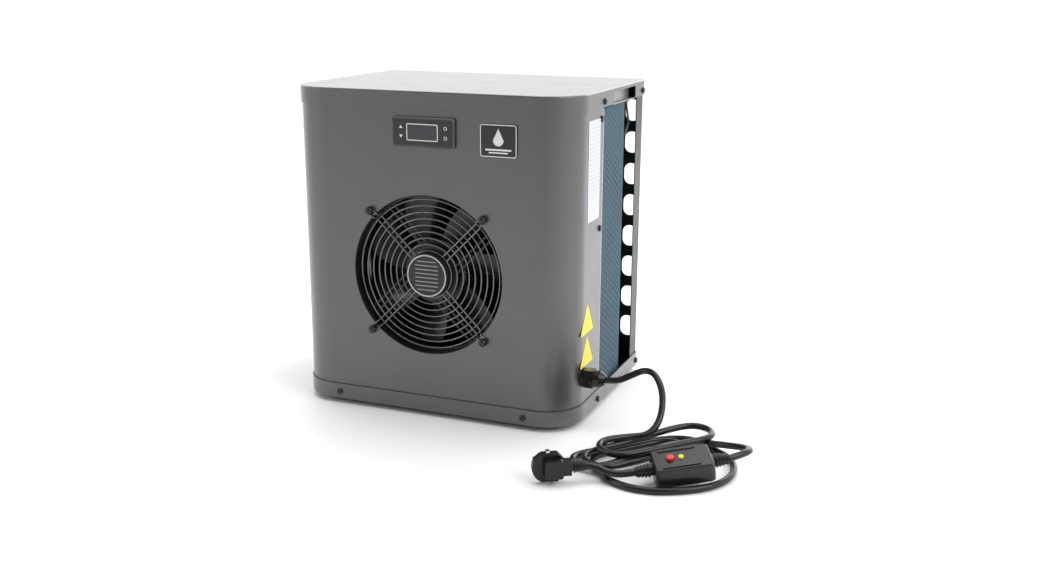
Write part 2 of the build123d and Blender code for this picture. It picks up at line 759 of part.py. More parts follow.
with BuildPart() as capillary_tube:
    add(bent_pipe([
        (drier_start + drier_length, drier_y, drier_z),
        (drier_start + drier_length + 16, drier_y, drier_z),
        (drier_start + drier_length + 16, drier_y + 6, drier_z + 50),
        (coil_outer_x - coil_thickness, drier_y + 6, drier_z + 50),
    ], 1.5, 6))

with BuildPart() as sensor_lead:
    add(bent_pipe([
        (bend_centre[0] + 52, coil_outer_y - 8.5, top_z - sheet - 1),
        (bend_centre[0] + 55, coil_outer_y - 6, top_z - 34),
        (bend_centre[0] + 60, coil_outer_y - 13, top_z - 50),
        (bend_centre[0] + 57, coil_outer_y - 18, top_z - 66),
    ], 1.2, 8))

# ---------------------------------------------------------------- electrical box
box_half = 96.0
box_rear = -34.0
box_low = 282.0
box_high = 345.0
box_front = front_y + sheet
box_middle = (box_front + box_rear) / 2

with BuildPart() as electrical_box:
    with BuildSketch(Plane.XY.offset(box_low)):
        with Locations((0, box_middle)):
            Rectangle(2 * box_half, box_rear - box_front)
    extrude(amount=box_high - box_low)
    with BuildSketch(Plane.XY.offset(box_low + sheet)):
        with Locations((0, box_middle)):
            Rectangle(2 * (box_half - sheet), box_rear - box_front - 2 * sheet)
    extrude(amount=box_high - box_low, mode=Mode.SUBTRACT)
    with BuildSketch(front_plane(box_front - 1)):
        with Locations((0, controller_z - fan_height)):
            Rectangle(controller_width - 2 * controller_lip, controller_height - 2 * controller_lip)
    extrude(amount=-4, mode=Mode.SUBTRACT)

with BuildPart() as electrical_cover:
    with BuildSketch(Plane.XY.offset(box_high)):
        with Locations((0, box_middle)):
            Rectangle(2 * box_half, box_rear - box_front)
    extrude(amount=sheet)

board_z = box_low + sheet + 5.0

with BuildPart() as control_board:
    with BuildSketch(Plane.XY.offset(board_z)):
        with Locations((-30, box_rear - 38)):
            Rectangle(110, 56)
    extrude(amount=1.6)
    with BuildSketch(Plane.XY.offset(board_z + 1.6)):
        with Locations((-64, box_rear - 30), (-44, box_rear - 30)):
            Rectangle(15, 19)
    extrude(amount=15)
    with BuildSketch(Plane.XY.offset(board_z + 1.6)):
        with Locations((-8, box_rear - 28)):
            Rectangle(28, 24)
    extrude(amount=20)
    with BuildSketch(Plane.XY.offset(board_z + 1.6)):
        with Locations((-30, box_rear - 58)):
            Rectangle(80, 9)
    extrude(amount=10)

with BuildPart() as run_capacitor:
    with BuildSketch(Plane(origin=(60, box_rear - 12, box_low + sheet + 18.2), z_dir=(0, -1, 0))):
        Circle(17)
    extrude(amount=52)

# ---------------------------------------------------------------- controller
bezel_proud = 4.0
bezel_recess = 0.9
bezel_rim = 2.0
body_depth = 22.0
window_width = 35.5
window_height = 16.5
window_x = -1.1
window_z = -0.2


def controller_plane(y):
    """Plane facing the viewer at depth y, centred on the controller."""
    return Plane(origin=(0, y, controller_z), x_dir=(1, 0, 0), z_dir=(0, -1, 0))


with BuildPart() as controller_bezel:
    with BuildSketch(controller_plane(front_y)):
        RectangleRounded(controller_width, controller_height, 3.0)
    extrude(amount=bezel_proud)
    chamfer(controller_bezel.faces().sort_by(Axis.Y)[0].edges(), 1.1)
    with BuildSketch(controller_plane(front_y)):
        Rectangle(controller_width - 2 * controller_lip - 0.6, controller_height - 2 * controller_lip - 0.6)
    extrude(amount=-body_depth)
    with BuildSketch(controller_plane(front_y - bezel_proud)):
        RectangleRounded(controller_width - 2 * bezel_rim, controller_height - 2 * bezel_rim, 1.6)
    extrude(amount=-bezel_recess, mode=Mode.SUBTRACT)

face_y = front_y - bezel_proud + bezel_recess
face_thickness = 0.6

with BuildPart() as controller_face:
    with BuildSketch(controller_plane(face_y)):
        RectangleRounded(controller_width - 2 * bezel_rim, controller_height - 2 * bezel_rim, 1.6)
        with Locations((window_x, window_z)):
            RectangleRounded(window_width, window_height, 1.0, mode=Mode.SUBTRACT)
    extrude(amount=face_thickness)

with BuildPart() as display_window:
    with BuildSketch(controller_plane(face_y)):
        with Locations((window_x, window_z)):
            RectangleRounded(window_width, window_height, 1.0)
    extrude(amount=face_thickness - 0.1)

badge_x = 86.8
badge_z = foot_height + 313.6
badge_width = 42.0
badge_height = 34.8
badge_thickness = 1.4


def badge_plane(y):
    """Plane facing the viewer at depth y, centred on the badge."""
    return Plane(origin=(badge_x, y, badge_z), x_dir=(1, 0, 0), z_dir=(0, -1, 0))


with BuildPart() as badge_plate:
    with BuildSketch(badge_plane(front_y)):
        RectangleRounded(badge_width, badge_height, 3.0)
    extrude(amount=badge_thickness)
    with BuildSketch(badge_plane(front_y - badge_thickness)):
        RectangleRounded(badge_width - 2.4, badge_height - 2.4, 2.2)
    extrude(amount=-0.5, mode=Mode.SUBTRACT)

with BuildPart() as badge_emblem:
    with BuildSketch(badge_plane(front_y - badge_thickness + 0.5)):
        with BuildLine():
            drop_side = ThreePointArc((-6.0, 0.5), (0, -5.5), (6.0, 0.5))
            Line((6.0, 0.5), (0, 13.0))
            Line((0, 13.0), (-6.0, 0.5))
        make_face()
        with Locations((0, -9.5)):
            SlotOverall(30, 1.8)
        with Locations((0, -12.6)):
            SlotOverall(22, 1.4)
    extrude(amount=0.7)

# ---------------------------------------------------------------- labels
label_thickness = 0.3


def side_plane():
    """Plane on the outer face of the right side, local x to the rear."""
    return Plane(origin=(half_width, 0, 0), x_dir=(0, 1, 0), z_dir=(1, 0, 0))


with BuildPart() as rating_label:
    with BuildSketch(side_plane()):
        with Locations((-58.5, 290.0)):
            RectangleRounded(39.0, 97.0, 2.0)
        with Locations((-58.5, 240.0)):
            RectangleRounded(39.0, 23.0, 1.5, mode=Mode.ADD)
    extrude(amount=label_thickness)

with BuildPart() as caution_labels:
    with BuildSketch(side_plane()) as caution_outline:
        for low in (104.0, 67.0):
            with BuildLine():
                Polyline((-95.0, low), (-51.5, low), (-73.0, low + 34.0), close=True)
            make_face()
        fillet(caution_outline.vertices(), 1.5)
    extrude(amount=label_thickness)

# ---------------------------------------------------------------- cable gland
washer_radius = 11.0
washer_thickness = 2.0
gland_radius = 10.0
gland_body_length = 11.0
dome_length = 13.0
gland_inside = 12.0
locknut_radius = 9.5
locknut_gap = 1.3          # the wall curves away beside the nut
locknut_thickness = 4.0
lead_radius = cable_diameter / 2
gland_outer = half_width + washer_thickness + gland_body_length
cable_exit = gland_outer + dome_length


def gland_plane(x):
    """Plane across the gland at x, facing out of the right side."""
    return Plane(origin=(x, gland_y, gland_z), x_dir=(0, 1, 0), z_dir=(1, 0, 0))


with BuildPart() as gland_washer:
    with BuildSketch(gland_plane(half_width)):
        Circle(washer_radius)
        Circle(gland_thread_radius, mode=Mode.SUBTRACT)
    extrude(amount=washer_thickness)

with BuildPart() as gland_body:
    with BuildSketch(gland_plane(half_width + washer_thickness)):
        RegularPolygon(gland_radius, 6, major_radius=False)
    extrude(amount=gland_body_length)
    with BuildSketch(gland_plane(half_width - gland_inside)):
        Circle(gland_thread_radius)
    extrude(amount=gland_inside + washer_thickness)
    with BuildSketch(gland_plane(half_width - gland_inside)):
        Circle(lead_radius + 0.4)
    extrude(amount=60, mode=Mode.SUBTRACT)

with BuildPart() as gland_nut:
    with BuildSketch(gland_plane(gland_outer)):
        Circle(gland_radius - 0.3)
    with BuildSketch(gland_plane(gland_outer + dome_length * 0.55)):
        Circle(gland_radius - 0.5)
    with BuildSketch(gland_plane(cable_exit)):
        Circle(lead_radius + 2.4)
    loft(ruled=True)
    with BuildSketch(gland_plane(gland_outer)):
        Circle(lead_radius + 0.4)
    extrude(amount=dome_length - 1.5, mode=Mode.SUBTRACT)

with BuildPart() as gland_locknut:
    with BuildSketch(gland_plane(half_width - sheet - locknut_gap - locknut_thickness)):
        RegularPolygon(locknut_radius, 6, major_radius=False)
        Circle(gland_thread_radius, mode=Mode.SUBTRACT)
    extrude(amount=locknut_thickness)

# ---------------------------------------------------------------- in-line residual-current device
rcd_length = 60.0
rcd_width = 38.0
rcd_base_height = 10.0
rcd_cover_height = 11.0
rcd_corner = 5.0
rcd_height = rcd_base_height + rcd_cover_height
rcd_turn = radians(27.0)
rcd_pitch = radians(7.0)
rcd_roll = radians(13.0)
rcd_relief_length = 17.0
relief_radius = 7.0
relief_tip = 5.0
relief_rib = 1.3
rcd_axis_height = 11.0
rcd_along = Vector(cos(rcd_turn) * cos(rcd_pitch), sin(rcd_turn) * cos(rcd_pitch), sin(rcd_pitch))
rcd_front = Vector(sin(rcd_turn), -cos(rcd_turn), 0)
rcd_level = rcd_along.cross(rcd_front * -1).normalized()
rcd_normal = rcd_level * cos(rcd_roll) + rcd_front * sin(rcd_roll)
rcd_place = Vector(314.0, -196.0, 8.5)
rcd_axis = Axis(tuple(rcd_place), tuple(rcd_normal))


def rcd_plane(height):
    """Plane parallel to the device's underside, local x along its length."""
    return Plane(origin=rcd_place + rcd_normal * height, x_dir=rcd_along, z_dir=rcd_normal)


def rcd_end(end, reach):
    """Plane square to the lead at one end: end is -1 or 1, reach is the distance out of the case."""
    centre = rcd_place + rcd_normal * rcd_axis_height + rcd_along * (end * (rcd_length / 2 + reach))
    return Plane(origin=centre, z_dir=rcd_along * end)


button_gap = 0.3
reset_x = -12.0
reset_radius = 4.1
test_x = -1.0
test_radius = 2.8
reset_travel = 2.0
reset_proud = 3.2
test_proud = 2.2
button_depth = 4.0
ridge_height = 1.0

with BuildPart() as rcd_base:
    with BuildSketch(rcd_plane(0)):
        RectangleRounded(rcd_length, rcd_width, rcd_corner)
    extrude(amount=rcd_base_height)
    chamfer(rcd_base.faces().sort_by(rcd_axis)[0].edges(), 1.5)

with BuildPart() as rcd_cover:
    with BuildSketch(rcd_plane(rcd_base_height)):
        RectangleRounded(rcd_length, rcd_width, rcd_corner)
    extrude(amount=rcd_cover_height, taper=6)
    chamfer(rcd_cover.faces().sort_by(rcd_axis)[-1].edges(), 1.0)
    with BuildSketch(rcd_plane(rcd_height - 0.2)):
        with Locations((-3, rcd_width / 2 - 5.5), (-3, -rcd_width / 2 + 5.5)):
            SlotOverall(rcd_length - 22, 2.0)
    extrude(amount=0.2 + ridge_height)
    with BuildSketch(rcd_plane(rcd_height)):
        with Locations((reset_x, 0)):
            Circle(reset_radius + button_gap)
        with Locations((test_x, 0)):
            Circle(test_radius + button_gap)
    extrude(amount=-button_depth - reset_travel - 0.5, mode=Mode.SUBTRACT)

with BuildPart() as reset_button:
    with BuildSketch(rcd_plane(rcd_height - button_depth)):
        with Locations((reset_x, 0)):
            Circle(reset_radius)
    extrude(amount=button_depth + reset_proud)
    fillet(reset_button.edges().filter_by(GeomType.CIRCLE).sort_by(rcd_axis)[-1], 1.2)

with BuildPart() as test_button:
    with BuildSketch(rcd_plane(rcd_height - button_depth)):
        with Locations((test_x, 0)):
            Circle(test_radius)
    extrude(amount=button_depth + test_proud)
    fillet(test_button.edges().filter_by(GeomType.CIRCLE).sort_by(rcd_axis)[-1], 0.9)


def ribbed_relief(place, length, root, tip, ribs):
    """A tapered strain relief with raised rings, growing out of the plane."""
    with BuildPart() as relief:
        with BuildSketch(place):
            Circle(root - relief_rib)
        with BuildSketch(place.offset(length)):
            Circle(tip)
        loft()
        for k in range(ribs):
            share = (k + 0.5) / ribs
            with BuildSketch(place.offset(length * (0.08 + 0.8 * share))):
                Circle(root + (tip - root) * share + 0.4)
            extrude(amount=length * 0.42 / ribs)
    return relief.part


with BuildPart() as rcd_strain_reliefs:
    for end in (-1, 1):
        add(ribbed_relief(rcd_end(end, 0), rcd_relief_length, relief_radius, relief_tip, 4))

# ---------------------------------------------------------------- plug
plug_turn = radians(31.0)
plug_place = Vector(191.5, -250.5, 17.2)
plug_along = Vector(cos(plug_turn), sin(plug_turn), 0)
plug_front = Vector(sin(plug_turn), -cos(plug_turn), 0)
plug_head_radius = 16.0
plug_flat = 15.0
plug_flange = 7.0
plug_body_depth = 13.0
plug_neck = 23.0
plug_relief_length = 15.0
pin_radius = 2.4
pin_spacing = 19.0
pin_length = 19.0
pin_seat = 5.0
clip_width = 4.0
clip_proud = 2.0


def plug_plane(forward):
    """Upright plane across the pins, local x towards the lead; forward is the distance towards the front."""
    return Plane(origin=plug_place + plug_front * forward, x_dir=plug_along, z_dir=plug_front)


plug_lead_end = Plane(origin=plug_place + plug_along * plug_neck + plug_front * -0.5, z_dir=plug_along)

with BuildPart() as plug_body:
    with BuildSketch(plug_plane(-plug_flange)) as plug_outline:
        Circle(plug_head_radius)
        with Locations((plug_head_radius / 2, 0)):
            Rectangle(plug_head_radius, 2 * plug_flat)
        with Locations((0, plug_flat + 5), (0, -plug_flat - 5)):
            Rectangle(60, 10, mode=Mode.SUBTRACT)
        chamfer(plug_outline.vertices().group_by(Axis.X)[-1], 6)
    extrude(amount=plug_flange)
    with BuildSketch(plug_plane(0)):
        with Locations((5.0, 0)):
            RectangleRounded(20.0, 20.0, 3.0)
    extrude(amount=plug_body_depth - 4.0, taper=4)
    with BuildSketch(plug_plane(-plug_flange + 1)):
        with Locations(((plug_head_radius + plug_neck) / 2 - 1, 0)):
            Rectangle(plug_neck - plug_head_radius + 2, 14.0)
    extrude(amount=13.0)
    with BuildSketch(plug_plane(-plug_flange)):
        with GridLocations(pin_spacing, 0, 2, 1):
            Circle(pin_radius)
    extrude(amount=pin_seat, mode=Mode.SUBTRACT)
    add(ribbed_relief(plug_lead_end, plug_relief_length, 6.6, 4.8, 4))

with BuildPart() as plug_contacts:
    with BuildSketch(plug_plane(-plug_flange + pin_seat)):
        with GridLocations(pin_spacing, 0, 2, 1):
            Circle(pin_radius)
    extrude(amount=-pin_length - pin_seat)
    pin_tips = plug_contacts.edges().filter_by(GeomType.CIRCLE)
    fillet(pin_tips.sort_by(Axis(tuple(plug_place), tuple(plug_front)))[:2], 1.4)
    with BuildSketch(plug_plane(-plug_flange)):
        with Locations((0, plug_flat + clip_proud / 2), (0, -plug_flat - clip_proud / 2)):
            Rectangle(clip_width, clip_proud)
    extrude(amount=plug_flange - 1)

# ---------------------------------------------------------------- mains lead, laid on the floor
hank_turn = radians(42.0)
hank_place = (262.0, -158.0)
hank_height = 21.5
hank_ends = [((-46.0, 0.0), 30.0), ((61.0, 12.5), 26.0)]
hank_edge = 6.0

with BuildPart() as lead_hank:
    hank_along = (cos(hank_turn), sin(hank_turn), 0)
    with BuildSketch(Plane(origin=(*hank_place, 0), x_dir=hank_along, z_dir=(0, 0, 1))):
        for centre, radius in hank_ends:
            with Locations(centre):
                Circle(radius)
        make_hull()
    extrude(amount=hank_height)
    fillet(lead_hank.edges().group_by(Axis.Z)[-1], hank_edge)

rcd_left = rcd_end(-1, rcd_relief_length).origin
rcd_right = rcd_end(1, rcd_relief_length).origin
plug_out = plug_lead_end.offset(plug_relief_length).origin

riser_route = [
    (cable_exit, gland_y, gland_z),
    (cable_exit + 13.0, gland_y, gland_z),
    (223.0, -76.5, 62.0),
    (238.0, -74.0, 70.0),
    (253.0, -82.0, 69.5),
    (266.0, -98.0, 55.0),
    (270.0, -118.0, 33.0),
    (262.0, -134.0, 19.0),
]
loop_route = [
    (231.0, -206.0, 5.0),
    (239.0, -221.0, 3.8),
    (255.0, -231.5, 3.7),
    (277.0, -237.5, 3.7),
    (300.0, -234.5, 3.7),
    (325.0, -221.5, 3.7),
    (345.0, -204.0, 3.7),
    (357.0, -180.0, 3.7),
    (357.5, -151.0, 3.7),
    (346.0, -124.0, 3.8),
    (322.0, -108.0, 3.8),
]
tail_route = [
    (299.8, -125.2, 12.5),
    (318.0, -115.0, 12.0),
    (342.0, -120.5, 15.0),
    (363.0, -134.0, 21.0),
    (373.0, -152.0, 26.5),
    (367.0, -168.0, 27.5),
    tuple(rcd_right),
]
plug_route = [
    tuple(rcd_left),
    (262.0, -226.0, 11.9),
    (247.0, -229.0, 12.2),
    (234.0, -226.5, 15.6),
    tuple(plug_out),
]


def bend_radii(route):
    """The largest arc that each corner of a route has room for."""
    radii = []
    for a, b, c in zip(route, route[1:], route[2:]):
        before = Vector(*b) - Vector(*a)
        after = Vector(*c) - Vector(*b)
        turn = radians(before.get_angle(after))
        radii.append(0.45 * min(before.length, after.length) / tan(turn / 2))
    return radii


def lead_tube(route):
    """The lead along a route of straight runs joined by arcs."""
    with BuildPart() as tube:
        with BuildLine() as run:
            FilletPolyline(*route, radius=bend_radii(route))
        with BuildSketch(Plane(origin=run.line @ 0, z_dir=run.line % 0)):
            Circle(lead_radius)
        sweep(path=run.wires()[0])
    length = run.wires()[0].length
    full_volume = pi * lead_radius**2 * length
    print("tube", round(length, 1), "volume ratio", round(tube.part.volume / full_volume, 4))
    print("  radii", [round(r, 1) for r in bend_radii(route)])
    return tube.part


with BuildPart() as lead_riser:
    add(lead_tube(riser_route))

with BuildPart() as lead_floor_loop:
    add(lead_tube(loop_route))

with BuildPart() as lead_tail:
    add(lead_tube(tail_route))

with BuildPart() as plug_lead:
    add(lead_tube(plug_route))

# ---------------------------------------------------------------- export
pieces = {
    "lid": lid,
    "base_pan": base_pan,
    "outer_shell": outer_shell,
    "rear_panel": rear_panel,
    "handle_plates": handle_plates,
    "rubber_feet": rubber_feet,
    "cabinet_screws": cabinet_screws,
    "fan_shroud": fan_shroud,
    "fan_guard": fan_guard,
    "guard_fasteners": guard_fasteners,
    "motor_bracket": motor_bracket,
    "motor_stator": motor_stator,
    "motor_bearings": motor_bearings,
    "motor_label": motor_label,
    "motor_shaft": motor_shaft,
    "motor_rotor": motor_rotor,
    "fan_impeller": fan_impeller,
    "coil_fins": coil_fins,
    "coil_end_plates": coil_end_plates,
    "coil_hairpins": coil_hairpins,
    "compressor": compressor,
    "compressor_grommets": compressor_grommets,
    "accumulator": accumulator,
    "heat_exchanger": heat_exchanger,
    "water_ports": water_ports,
    "hose_tails": hose_tails,
    "union_nuts": union_nuts,
    "discharge_pipe": discharge_pipe,
    "suction_pipe": suction_pipe,
    "liquid_pipe": liquid_pipe,
    "filter_drier": filter_drier,
    "capillary_tube": capillary_tube,
    "sensor_lead": sensor_lead,
    "electrical_box": electrical_box,
    "electrical_cover": electrical_cover,
    "control_board": control_board,
    "run_capacitor": run_capacitor,
    "controller_bezel": controller_bezel,
    "controller_face": controller_face,
    "display_window": display_window,
    "badge_plate": badge_plate,
    "badge_emblem": badge_emblem,
    "rating_label": rating_label,
    "caution_labels": caution_labels,
    "gland_washer": gland_washer,
    "gland_body": gland_body,
    "gland_nut": gland_nut,
    "gland_locknut": gland_locknut,
    "rcd_base": rcd_base,
    "rcd_cover": rcd_cover,
    "rcd_strain_reliefs": rcd_strain_reliefs,
    "reset_button": reset_button,
    "test_button": test_button,
    "plug_body": plug_body,
    "plug_contacts": plug_contacts,
    "lead_hank": lead_hank,
    "lead_riser": lead_riser,
    "lead_floor_loop": lead_floor_loop,
    "lead_tail": lead_tail,
    "plug_lead": plug_lead,
}
for name, piece in pieces.items():
    piece.part.label = name
    export_step(piece.part, f"parts/{name}.step")
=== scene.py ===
"""Looks of a compact pool heat pump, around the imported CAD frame. Metres, +Z up, origin on the floor."""

import math

import bmesh
import bpy
from mathutils import Matrix, Vector


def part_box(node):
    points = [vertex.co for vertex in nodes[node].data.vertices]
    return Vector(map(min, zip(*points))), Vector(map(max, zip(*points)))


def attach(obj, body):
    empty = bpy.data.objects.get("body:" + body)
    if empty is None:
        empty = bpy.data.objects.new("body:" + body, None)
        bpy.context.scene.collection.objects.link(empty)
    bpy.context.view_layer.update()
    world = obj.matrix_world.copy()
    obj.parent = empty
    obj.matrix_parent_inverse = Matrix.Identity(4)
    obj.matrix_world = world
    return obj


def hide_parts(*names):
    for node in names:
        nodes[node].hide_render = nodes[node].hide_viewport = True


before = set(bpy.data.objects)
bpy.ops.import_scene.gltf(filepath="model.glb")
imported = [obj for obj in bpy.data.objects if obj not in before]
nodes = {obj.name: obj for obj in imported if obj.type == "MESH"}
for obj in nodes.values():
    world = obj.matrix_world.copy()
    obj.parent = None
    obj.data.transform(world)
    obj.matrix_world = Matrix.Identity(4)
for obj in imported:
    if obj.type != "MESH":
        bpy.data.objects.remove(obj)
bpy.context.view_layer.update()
MM = 0.001

# ---------------------------------------------------------------- driving values
lead_diameter = 7.2 * MM
fan_axis_z = 165.3 * MM
sticker_radius = 24.7 * MM
fin_pitch = 1.3 * MM
net_pitch_along = 12.5 * MM
net_pitch_up = 7.5 * MM
hank_centre = (262.0, -158.0)  # in millimetres, as the routes of the lead are
hank_turn = math.radians(42.0)


# ---------------------------------------------------------------- shader writing
class Value:
    """A number that varies over a surface. Arithmetic on it adds Math nodes."""

    def __init__(self, shading, socket):
        self.shading = shading
        self.socket = socket

    def math(self, operation, *others):
        inputs = dict(enumerate((self, *others)))
        return self.shading.node("ShaderNodeMath", {"operation": operation}, inputs)

    def __add__(self, other):
        return self.math("ADD", other)

    __radd__ = __add__

    def __mul__(self, other):
        return self.math("MULTIPLY", other)

    __rmul__ = __mul__

    def __sub__(self, other):
        return self.math("SUBTRACT", other)

    def __rsub__(self, other):
        return (self * -1.0) + other

    def __truediv__(self, other):
        return self.math("DIVIDE", other)

    def __gt__(self, other):
        return self.math("GREATER_THAN", other)

    def __lt__(self, other):
        return self.math("LESS_THAN", other)

    def __abs__(self):
        return self.math("ABSOLUTE")

    def wave(self, pitch):
        """0 to 1 and back over one pitch."""
        return self.math("PINGPONG", pitch / 2) / (pitch / 2)

    def ripple(self, pitch):
        """-1 to 1 and back over one pitch, smoothly."""
        return (self / pitch * math.tau).math("SINE")

    def soft_step(self, low, high):
        """0 below low, 1 above high, smooth between."""
        settings = {"interpolation_type": "SMOOTHSTEP"}
        inputs = {"Value": self, "From Min": low, "From Max": high}
        return self.shading.node("ShaderNodeMapRange", settings, inputs)


class Shading:
    """A node tree, with the coordinates that its patterns follow."""

    def __init__(self, tree, coordinates):
        self.tree = tree
        self.place = self.node("ShaderNodeTexCoord", output=coordinates)

    def node(self, kind, settings=None, inputs=None, output=0):
        """A new node: its settings come first, then the values or links of its sockets."""
        made = self.tree.nodes.new(kind)
        for key, value in (settings or {}).items():
            setattr(made, key, value)
        for key, value in (inputs or {}).items():
            self.feed(made.inputs[key], value)
        return Value(self, made.outputs[output])

    def feed(self, socket, value):
        if isinstance(value, Value):
            self.tree.links.new(value.socket, socket)
        else:
            socket.default_value = value

    def axis(self, letter):
        """One coordinate of the surface point."""
        return self.node("ShaderNodeSeparateXYZ", inputs={0: self.place}, output=letter)

    def noise(self, scale, detail=3.0, stretch=None):
        where = self.place
        if stretch:
            where = self.node("ShaderNodeMapping", inputs={"Vector": self.place, "Scale": stretch})
        inputs = {"Vector": where, "Scale": scale, "Detail": detail}
        return self.node("ShaderNodeTexNoise", inputs=inputs, output="Fac")

    def blend(self, factor, first, second):
        """A colour between two others. The Mix node's colour sockets are 6 and 7 in and 2 out."""
        inputs = {0: factor, 6: self.colour(first), 7: self.colour(second)}
        return self.node("ShaderNodeMix", {"data_type": "RGBA"}, inputs, output=2)

    def colour(self, value):
        """A link as it is, or three numbers with a full alpha."""
        return value if isinstance(value, Value) else (*value, 1.0)


class Finish(Shading):
    """One material: constants on its shader, and nodes for what varies over the surface."""

    def __init__(self, name, **constants):
        self.material = bpy.data.materials.new(name)
        self.material.use_nodes = True
        super().__init__(self.material.node_tree, "Object")
        self.shader = self.tree.nodes["Principled BSDF"]
        for socket, value in constants.items():
            self.shader.inputs[socket.replace("_", " ")].default_value = value

    def set(self, socket, value):
        self.feed(self.shader.inputs[socket], value)

    def bump(self, height, distance, strength=1.0):
        inputs = {"Height": height, "Distance": distance, "Strength": strength}
        self.set("Normal", self.node("ShaderNodeBump", inputs=inputs))


# ---------------------------------------------------------------- finishes
def coated(name, colour, metallic, roughness, grain=900.0, depth=0.00012, spread=0.12, gloss=0.5):
    """Powder-coated or moulded surface: fine orange peel, slow drift of tone, and a little handling haze."""
    made = Finish(name, Metallic=metallic, Specular_IOR_Level=gloss)
    drift = made.noise(9.0, 4.0)
    fine = made.noise(grain, 2.0)
    darker = tuple(c * (1.0 - spread) for c in colour)
    lighter = tuple(min(1.0, c * (1.0 + spread)) for c in colour)
    made.set("Base Color", made.blend(drift * 0.7 + fine * 0.3, darker, lighter))
    made.set("Roughness", made.noise(30.0, 5.0) * 0.16 + fine * 0.08 + (roughness - 0.12))
    made.bump(fine, depth, 0.35)
    return made.material


def bare_metal(name, colour, roughness, streak=(4.0, 4.0, 60.0)):
    """Drawn or turned metal with fine streaks and patches of tarnish."""
    made = Finish(name, Metallic=1.0)
    line = made.noise(160.0, 2.0, streak)
    patch = made.noise(14.0, 4.0)
    made.set("Base Color", made.blend(patch, tuple(c * 0.78 for c in colour), colour))
    made.set("Roughness", line * 0.18 + patch * 0.14 + (roughness - 0.16))
    made.bump(line, 0.00005, 0.4)
    return made.material


def cabinet_paint():
    """Dark metallic grey with a fine sparkle under a clear coat."""
    made = Finish("cabinet_paint", Metallic=0.92, Coat_Weight=0.75, Coat_Roughness=0.22)
    flake = made.noise(2600.0, 1.0)
    drift = made.noise(5.0, 3.0)
    body = made.blend(drift, (0.098, 0.098, 0.101), (0.118, 0.118, 0.121))
    made.set("Base Color", made.blend(flake.soft_step(0.56, 0.72) * 0.25, body, (0.22, 0.22, 0.225)))
    made.set("Roughness", made.noise(24.0, 5.0) * 0.14 + flake * 0.1 + 0.30)
    made.bump(made.noise(700.0, 2.0) * 0.7 + flake * 0.3, 0.0001, 0.3)
    return made.material


def coil_blue():
    """Coated fins behind a light net: fine fin lines, and staggered ovals that show the blue, which is
    darkened towards near black in random patches as painted shade deep between the fins.
    """
    made = Finish("coil_blue", Specular_IOR_Level=0.08)
    x, y, z = made.axis("X"), made.axis("Y"), made.axis("Z")
    flat_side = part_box("coil_fins")[1].x - 1.0 * MM
    # Along the flat side the net follows y. Round the bend and across the back it follows x as well.
    along = (x > flat_side) * (y - x) + (x < flat_side) * (y * 0.6 - x * 1.2)
    hole = along.ripple(net_pitch_along) * z.ripple(net_pitch_up)
    net = 1.0 - hole.soft_step(0.0, 0.16)
    fin = along.ripple(fin_pitch) * 0.5 + 0.5
    # The fins' own blue, mixed in random patches with near black that is painted shade in the gaps between
    # the fins.
    fin_blue_and_gap_shade = made.blend(made.noise(45.0, 3.0), (0.0, 0.008, 0.026), (0.0, 0.11, 0.15))
    fins = made.blend(fin * 0.3, fin_blue_and_gap_shade, (0.004, 0.20, 0.24))
    made.set("Base Color", made.blend(net * 0.9, fins, (0.10, 0.115, 0.145)))
    made.set("Roughness", net * 0.1 + made.noise(200.0, 2.0) * 0.15 + 0.42)
    made.bump(net * 0.8 + fin * 0.2, 0.0007, 0.8)
    return made.material


def lead_sheath():
    """Black rubber sheath with slight bloom."""
    made = Finish("lead_sheath", Specular_IOR_Level=0.42)
    bloom = made.noise(70.0, 4.0)
    fine = made.noise(1800.0, 2.0)
    made.set("Base Color", made.blend(bloom, (0.0035, 0.0035, 0.0035), (0.008, 0.008, 0.008)))
    made.set("Roughness", bloom * 0.12 + fine * 0.05 + 0.16)
    made.bump(fine, 0.00008, 0.25)
    return made.material


def rating_sheet():
    """White label with blank grey form rules inside its margins."""
    made = Finish("rating_sheet")
    low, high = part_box("rating_label")
    side_margin, top_margin, foot_margin = 2.5 * MM, 5.5 * MM, 23.5 * MM
    rule_pitch = 4.2 * MM
    y, z = made.axis("Y"), made.axis("Z")
    broken = made.noise(420.0, 0.0, (0.0, 1.0, 0.35)) > 0.44
    rule = (z.wave(rule_pitch) > 0.82) * broken
    inset = (y > low.y + side_margin) * (y < high.y - side_margin)
    upper = (z > low.z + foot_margin) * (z < high.z - top_margin)
    ink = rule * inset * upper
    paper = made.blend(made.noise(30.0, 3.0), (0.50, 0.53, 0.58), (0.58, 0.60, 0.64))
    made.set("Base Color", made.blend(ink * 0.7, paper, (0.25, 0.27, 0.30)))
    made.set("Roughness", made.noise(80.0, 3.0) * 0.12 + 0.34)
    made.bump(made.noise(300.0, 2.0), 0.00005, 0.3)
    return made.material


def motor_sticker():
    """Black disc with a silver ring near its edge and plain bars across the middle."""
    made = Finish("motor_sticker", Metallic=0.2)
    ring_outer, ring_inner = sticker_radius - 0.9 * MM, sticker_radius - 2.2 * MM
    bar_reach, bar_half, bar_pitch = sticker_radius - 5.2 * MM, 14.0 * MM, 4.6 * MM
    x, z = made.axis("X"), made.axis("Z")
    up = z - fan_axis_z
    distance = (x * x + up * up).math("SQRT")
    ring = (distance > ring_inner) * (distance < ring_outer)
    bar = (up.wave(bar_pitch) > 0.78) * (distance < bar_reach) * (abs(x) < bar_half)
    made.set("Base Color", made.blend(ring * 0.8 + bar * 0.45, (0.016, 0.016, 0.017), (0.62, 0.62, 0.62)))
    made.set("Roughness", made.noise(200.0, 3.0) * 0.15 + 0.3)
    made.bump(made.noise(500.0, 2.0), 0.00005, 0.3)
    return made.material


